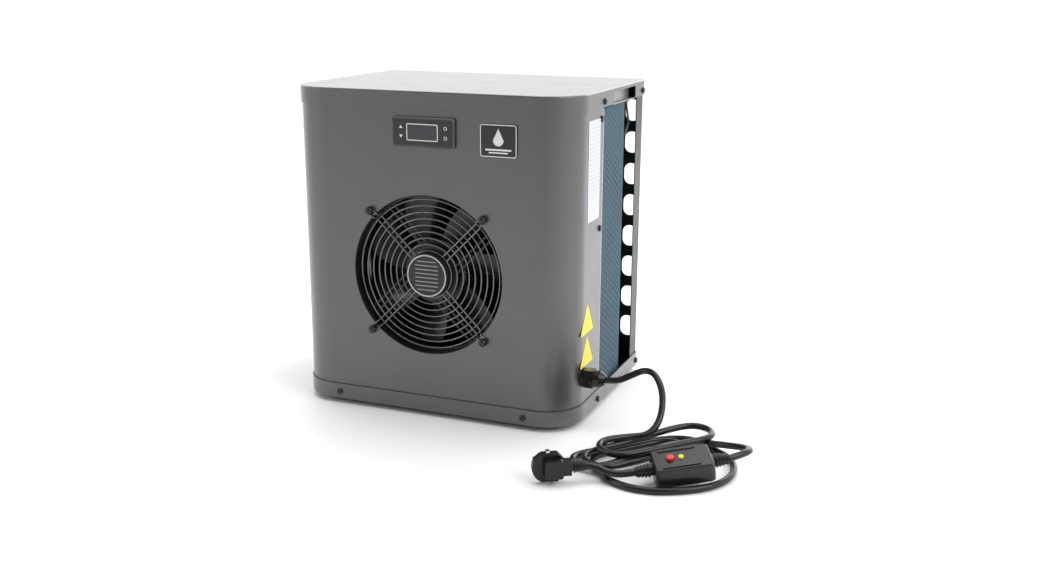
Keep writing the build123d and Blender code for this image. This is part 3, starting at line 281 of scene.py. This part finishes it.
def circuit_board():
    """Green board with lighter tracks."""
    made = Finish("circuit_board")
    settings = {"feature": "DISTANCE_TO_EDGE"}
    track = made.node("ShaderNodeTexVoronoi", settings, {"Vector": made.place, "Scale": 240.0})
    made.set("Base Color", made.blend(track.soft_step(0.0, 0.12), (0.08, 0.33, 0.14), (0.02, 0.14, 0.06)))
    made.set("Roughness", made.noise(90.0, 3.0) * 0.2 + 0.3)
    made.bump(track, 0.0001, 0.4)
    return made.material


def floor_finish():
    """Plain pale floor."""
    made = Finish("studio_floor")
    made.set("Base Color", made.blend(made.noise(1.3, 2.0), (0.90, 0.90, 0.90), (0.93, 0.93, 0.93)))
    made.set("Roughness", made.noise(6.0, 3.0) * 0.1 + 0.5)
    return made.material


finishes = {
    "cabinet_paint": cabinet_paint(),
    "plated_steel": coated("plated_steel", (0.40, 0.405, 0.41), 0.6, 0.42),
    # Near black: the fan shroud's own black, and on the grey rear panel painted shade over its inner face.
    "rear_paint": coated("rear_paint", (0.010, 0.010, 0.011), 0.0, 0.34),
    "guard_wire": coated("guard_wire", (0.17, 0.17, 0.175), 0.85, 0.26, grain=1500.0, depth=0.00003),
    "bracket_steel": coated("bracket_steel", (0.035, 0.035, 0.038), 0.3, 0.36),
    "black_fastener": coated("black_fastener", (0.006, 0.006, 0.007), 0.0, 0.15, depth=0.00002),
    "motor_black": coated("motor_black", (0.02, 0.02, 0.021), 0.3, 0.36),
    "bright_steel": bare_metal("bright_steel", (0.72, 0.72, 0.73), 0.26),
    "blade_plastic": coated("blade_plastic", (0.022, 0.022, 0.026), 0.0, 0.24, depth=0.00004),
    "coil_blue": coil_blue(),
    "copper": bare_metal("copper", (0.82, 0.42, 0.27), 0.32),
    "rubber_black": coated("rubber_black", (0.02, 0.02, 0.02), 0.0, 0.62, grain=500.0, depth=0.0003),
    "tank_plastic": coated("tank_plastic", (0.035, 0.036, 0.04), 0.0, 0.45),
    "union_plastic": coated("union_plastic", (0.05, 0.05, 0.054), 0.0, 0.38),
    "circuit_board": circuit_board(),
    "capacitor_can": bare_metal("capacitor_can", (0.7, 0.7, 0.7), 0.34),
    "sensor_grey": coated("sensor_grey", (0.24, 0.24, 0.25), 0.0, 0.5),
    "controller_silver": coated("controller_silver", (0.085, 0.088, 0.095), 0.8, 0.26, depth=0.00003),
    "controller_black": coated("controller_black", (0.018, 0.019, 0.023), 0.0, 0.3, depth=0.00003),
    "display_smoke": coated("display_smoke", (0.035, 0.037, 0.042), 0.0, 0.14, depth=0.00001),
    "print_white": coated("print_white", (0.72, 0.72, 0.72), 0.0, 0.45, depth=0.00003),
    "badge_black": coated("badge_black", (0.012, 0.012, 0.014), 0.0, 0.2, depth=0.00002),
    "emblem_silver": bare_metal("emblem_silver", (0.78, 0.78, 0.80), 0.22),
    "rating_sheet": rating_sheet(),
    "label_yellow": coated("label_yellow", (0.80, 0.62, 0.01), 0.0, 0.4, depth=0.00004, spread=0.05),
    "gland_nylon": coated("gland_nylon", (0.004, 0.004, 0.004), 0.0, 0.2, depth=0.00004, gloss=0.4),
    "rcd_case": coated("rcd_case", (0.012, 0.012, 0.014), 0.0, 0.27, grain=1400.0, depth=0.00008, gloss=0.4),
    "relief_rubber": coated("relief_rubber", (0.006, 0.006, 0.007), 0.0, 0.28, depth=0.00008, gloss=0.35),
    "button_red": coated("button_red", (0.62, 0.012, 0.01), 0.0, 0.26, depth=0.00004, spread=0.06),
    "button_yellow": coated("button_yellow", (0.82, 0.62, 0.01), 0.0, 0.26, depth=0.00004, spread=0.06),
    "motor_sticker": motor_sticker(),
    "lead_sheath": lead_sheath(),
}

node_finish = {
    "cabinet_paint": ("lid", "base_pan", "outer_shell"),
    "plated_steel": ("handle_plates", "coil_end_plates", "electrical_box", "electrical_cover"),
    # The rear panel takes this near black as painted shade; the fan shroud is black itself.
    "rear_paint": ("rear_panel", "fan_shroud"),
    "guard_wire": ("fan_guard",),
    "bracket_steel": ("motor_bracket",),
    "black_fastener": ("guard_fasteners", "cabinet_screws"),
    "motor_black": ("motor_stator", "motor_rotor", "compressor", "accumulator"),
    "bright_steel": ("motor_bearings", "motor_shaft", "plug_contacts"),
    "blade_plastic": ("fan_impeller",),
    "coil_blue": ("coil_fins",),
    "copper": (
        "coil_hairpins",
        "discharge_pipe",
        "suction_pipe",
        "liquid_pipe",
        "filter_drier",
        "capillary_tube",
    ),
    "rubber_black": ("rubber_feet", "compressor_grommets"),
    "tank_plastic": ("heat_exchanger", "water_ports"),
    "union_plastic": ("hose_tails", "union_nuts"),
    "circuit_board": ("control_board",),
    "capacitor_can": ("run_capacitor",),
    "sensor_grey": ("sensor_lead",),
    "controller_silver": ("controller_bezel",),
    "controller_black": ("controller_face",),
    "display_smoke": ("display_window",),
    "badge_black": ("badge_plate",),
    "emblem_silver": ("badge_emblem",),
    "rating_sheet": ("rating_label",),
    "label_yellow": ("caution_labels",),
    "gland_nylon": ("gland_washer", "gland_body", "gland_nut", "gland_locknut"),
    "rcd_case": ("rcd_base", "rcd_cover"),
    "relief_rubber": ("rcd_strain_reliefs", "plug_body"),
    "button_red": ("reset_button",),
    "button_yellow": ("test_button",),
    "motor_sticker": ("motor_label",),
    "lead_sheath": ("lead_hank", "lead_riser", "lead_floor_loop", "lead_tail", "plug_lead"),
}
for finish_name, finished_nodes in node_finish.items():
    for node_name in finished_nodes:
        slots = nodes[node_name].data.materials
        slots.clear()
        slots.append(finishes[finish_name])


# ---------------------------------------------------------------- mains lead
# Each route is a list of control points in millimetres, the same as the CAD lead's.
riser_route = [
    (196.0, -82.0, 55.0),
    (209.0, -82.0, 55.0),
    (223.0, -76.5, 62.0),
    (238.0, -74.0, 70.0),
    (253.0, -82.0, 69.5),
    (266.0, -98.0, 55.0),
    (270.0, -118.0, 33.0),
    (262.0, -134.0, 19.0),
]
loop_route = [
    (231.0, -206.0, 5.0),
    (239.0, -221.0, 3.8),
    (255.0, -231.5, 3.7),
    (277.0, -237.5, 3.7),
    (300.0, -234.5, 3.7),
    (325.0, -221.5, 3.7),
    (345.0, -204.0, 3.7),
    (357.0, -180.0, 3.7),
    (357.5, -151.0, 3.7),
    (346.0, -124.0, 3.8),
    (322.0, -108.0, 3.8),
]
tail_route = [
    (299.8, -125.2, 12.5),
    (318.0, -115.0, 12.0),
    (342.0, -120.5, 15.0),
    (363.0, -134.0, 21.0),
    (373.0, -152.0, 26.5),
    (367.0, -168.0, 27.5),
    (355.52, -177.62, 24.87),
]
plug_route = [
    (272.39, -219.98, 13.41),
    (262.0, -226.0, 11.9),
    (247.0, -229.0, 12.2),
    (234.0, -226.5, 15.6),
    (223.81, -230.5, 17.2),
]


def hank_point(along, across, height):
    """A point of the hank: along its length, across it towards the front, and above the floor."""
    x = hank_centre[0] + along * math.cos(hank_turn) + across * math.sin(hank_turn)
    y = hank_centre[1] + along * math.sin(hank_turn) - across * math.cos(hank_turn)
    return (x, y, height)


def fold(tip, side, middle, radius, height_in, height_out):
    """Half a turn round one end of the hank: side is -1 at the left end and 1 at the right."""
    corners = 4
    reach = radius / math.cos(math.pi / (2 * corners))
    points = []
    for k in range(corners):
        angle = math.pi * ((k + 0.5) / corners - 0.5)
        along = tip - side * radius + side * reach * math.cos(angle)
        across = middle - side * reach * math.sin(angle)
        height = height_in + (height_out - height_in) * k / (corners - 1)
        points.append(hank_point(along, across, height))
    return points


def run(*places):
    """Several points of the hank, each as its place along, its place across and its height."""
    return [hank_point(*place) for place in places]


first_turns = (
    run((-6, -24, 18))
    + fold(-46, -1, -3, 22, 18, 17.5)
    + run((2, 17, 17.7), (35, 12, 18))
    + fold(84, 1, -12, 22, 18.5, 17.5)
    + run((34, -31, 15.5), (-8, -23, 12.0))
    + fold(-66, -1, 5, 22, 11, 10.8)
    + run((-22, 24, 10.8), (6, 17, 10.8))
    + fold(50, 1, -8, 22, 9, 5)
    + run((8, -29, 3.8), (-22, -25, 3.7), (-46, -20, 3.7), (-58, -2, 3.7))
)
last_turn = (
    run((77, -18, 3.7), (62, -34, 3.7), (30, -38.5, 3.7), (-14, -34, 3.7))
    + fold(-74, -1, -7, 24, 3.8, 8.0)
    + run((-36, 17.5, 11), (-2, 9, 12.2), (30, -1, 13))
)


def lead(name, route):
    """A length of lead on a smooth line with the route's points as its control points."""
    curve = bpy.data.curves.new(name, "CURVE")
    curve.dimensions = "3D"
    spline = curve.splines.new("NURBS")
    spline.points.add(len(route) - 1)
    for point, place in zip(spline.points, route):
        point.co = (*(Vector(place) * MM), 1.0)
    spline.order_u = 3
    spline.use_endpoint_u = True
    curve.resolution_u = 8
    curve.bevel_depth = lead_diameter / 2
    curve.bevel_resolution = 5
    curve.use_fill_caps = True
    curve.materials.append(finishes["lead_sheath"])
    made = bpy.data.objects.new(name, curve)
    bpy.context.scene.collection.objects.link(made)
    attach(made, "cabinet")
    return made


main_route = riser_route + first_turns + loop_route + last_turn + tail_route
main_lead = lead("mains_lead", main_route)
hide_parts("lead_riser", "lead_hank", "lead_floor_loop", "lead_tail")
short_lead = lead("plug_side_lead", plug_route)
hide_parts("plug_lead")


# ---------------------------------------------------------------- printed marks and trims
def plate(name, outlines, front, thick, finish):
    """Flat pieces that face -Y, as one mesh.

    Each outline is a ring of (x, z) points and either None or a hole with as many points.
    """
    mesh = bmesh.new()
    for outline in outlines:
        layers = []
        for y in (front, front + thick):
            rings = [[mesh.verts.new((x, y, z)) for x, z in ring] for ring in outline if ring]
            if len(rings) == 2:
                for i in range(len(rings[0])):
                    mesh.faces.new((rings[0][i - 1], rings[0][i], rings[1][i], rings[1][i - 1]))
            else:
                mesh.faces.new(rings[0])
            layers.append(rings)
        for near, far in zip(*layers):
            for i in range(len(near)):
                mesh.faces.new((near[i - 1], near[i], far[i], far[i - 1]))
    bmesh.ops.recalc_face_normals(mesh, faces=mesh.faces)
    data = bpy.data.meshes.new(name)
    mesh.to_mesh(data)
    mesh.free()
    data.materials.append(finishes[finish])
    made = bpy.data.objects.new(name, data)
    bpy.context.scene.collection.objects.link(made)
    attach(made, "cabinet")
    return made


def rounded(centre, width, height, radius, corner=6):
    """Points round a rectangle with rounded corners."""
    points = []
    for quarter in range(4):
        side_x = (width / 2 - radius) * (1 if quarter in (0, 3) else -1)
        side_z = (height / 2 - radius) * (1 if quarter in (0, 1) else -1)
        for k in range(corner + 1):
            angle = math.pi / 2 * (quarter + k / corner)
            x = centre[0] + side_x + radius * math.cos(angle)
            z = centre[1] + side_z + radius * math.sin(angle)
            points.append((x, z))
    return points


def inside(centre, size, margin, radius):
    """Points round a rounded rectangle that lies inside another by the same margin all round."""
    return rounded(centre, size[0] - 2 * margin, size[1] - 2 * margin, radius)


def middle_and_size(node):
    """Centre and size of a front-facing node, as (x, z) pairs."""
    low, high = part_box(node)
    return ((low.x + high.x) / 2, (low.z + high.z) / 2), (high.x - low.x, high.z - low.z)


face_centre, _ = middle_and_size("controller_face")
window_centre, window_size = middle_and_size("display_window")
badge_centre, badge_size = middle_and_size("badge_plate")
print_thick = 0.08 * MM
border_thick = 0.25 * MM
key_across, key_up = 26.5 * MM, 5.2 * MM
arrow = 2.0 * MM
frame_wide = 0.9 * MM


def arrow_key(way):
    """A small triangle that points up or down."""
    x, z = face_centre[0] - key_across, face_centre[1] + way * key_up
    reach = way * arrow * 0.8
    return [(x - arrow, z - reach), (x + arrow, z - reach), (x, z + reach)], None


def outline_key(way, size, line, radius):
    """A small ring or square outline on the right of the window."""
    centre = (face_centre[0] + key_across, face_centre[1] + way * key_up)
    return rounded(centre, size, size, radius), rounded(centre, size - line, size - line, radius - line / 2)


window_frame = (
    inside(window_centre, window_size, margin=-frame_wide, radius=1.4 * MM),
    inside(window_centre, window_size, margin=0.0, radius=0.5 * MM),
)
badge_border = (
    inside(badge_centre, badge_size, margin=0.3 * MM, radius=2.7 * MM),
    inside(badge_centre, badge_size, margin=1.2 * MM, radius=1.8 * MM),
)
marks = [
    arrow_key(1),
    arrow_key(-1),
    outline_key(1, size=3.8 * MM, line=1.2 * MM, radius=1.88 * MM),
    outline_key(-1, size=3.6 * MM, line=1.2 * MM, radius=0.9 * MM),
    window_frame,
]
marks_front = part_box("controller_face")[0].y - print_thick
plate("controller_marks", marks, marks_front, print_thick, "print_white")
border_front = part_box("badge_plate")[0].y - border_thick
plate("badge_border", [badge_border], border_front, border_thick, "emblem_silver")


# ---------------------------------------------------------------- camera, lights and floor
camera_place = (0.5676, -1.2621, 0.4841)
camera_azimuth, camera_down, camera_roll = math.radians(21.665), math.radians(14.573), math.radians(0.248)
lens_length, sensor_width = 40.38, 36.0
floor_reach = 9.0
lamp_target = Vector((0.05, -0.05, 0.16))
# name, place in metres, power in watts, side in metres
lamps = [
    ("key", (1.7, -0.6, 1.3), 16.0, 1.2),
    ("fill", (-1.6, -1.5, 0.9), 7.0, 0.7),
    ("top", (-0.2, 0.3, 2.2), 16.0, 1.8),
    ("rear", (0.8, 2.0, 1.1), 14.0, 1.5),
]


def place_camera():
    """The camera stands to the right of the front, above the lid, and looks down at the cabinet."""
    data = bpy.data.cameras.new("camera")
    data.sensor_width = sensor_width
    data.lens = lens_length
    data.clip_end = 20.0
    camera = bpy.data.objects.new("camera", data)
    bpy.context.scene.collection.objects.link(camera)
    turn = Matrix.Rotation(camera_azimuth, 4, "Z") @ Matrix.Rotation(math.pi / 2 - camera_down, 4, "X")
    camera.matrix_world = Matrix.Translation(camera_place) @ turn @ Matrix.Rotation(camera_roll, 4, "Z")
    bpy.context.scene.camera = camera


def lay_floor():
    """A wide pale floor, which isn't part of the object."""
    mesh = bpy.data.meshes.new("studio_floor")
    corners = [(-1, -1), (1, -1), (1, 1), (-1, 1)]
    mesh.from_pydata([(x * floor_reach, y * floor_reach, 0) for x, y in corners], [], [(0, 1, 2, 3)])
    mesh.materials.append(floor_finish())
    floor = bpy.data.objects.new("studio_floor", mesh)
    bpy.context.scene.collection.objects.link(floor)


def hang_lamps():
    """Large soft lamps, each turned to the middle of the object."""
    for name, place, power, size in lamps:
        data = bpy.data.lights.new(name, "AREA")
        data.energy = power
        data.size = size
        lamp = bpy.data.objects.new(name, data)
        lamp.location = place
        lamp.rotation_euler = (lamp_target - Vector(place)).to_track_quat("-Z", "Y").to_euler()
        bpy.context.scene.collection.objects.link(lamp)


def paint_surround():
    """White surround, dimmer on the side that the front of the cabinet faces."""
    dim, lit = 0.30, 1.45
    world = bpy.data.worlds.new("studio")
    world.use_nodes = True
    shading = Shading(world.node_tree, "Generated")
    background = world.node_tree.nodes["Background"]
    shading.feed(background.inputs["Strength"], shading.axis("Y").soft_step(-0.75, 0.35) * (lit - dim) + dim)
    shading.feed(background.inputs["Color"], (1.0, 1.0, 1.0, 1.0))
    bpy.context.scene.world = world
    bpy.context.scene.view_settings.view_transform = "Standard"


place_camera()
lay_floor()
hang_lamps()
paint_surround()
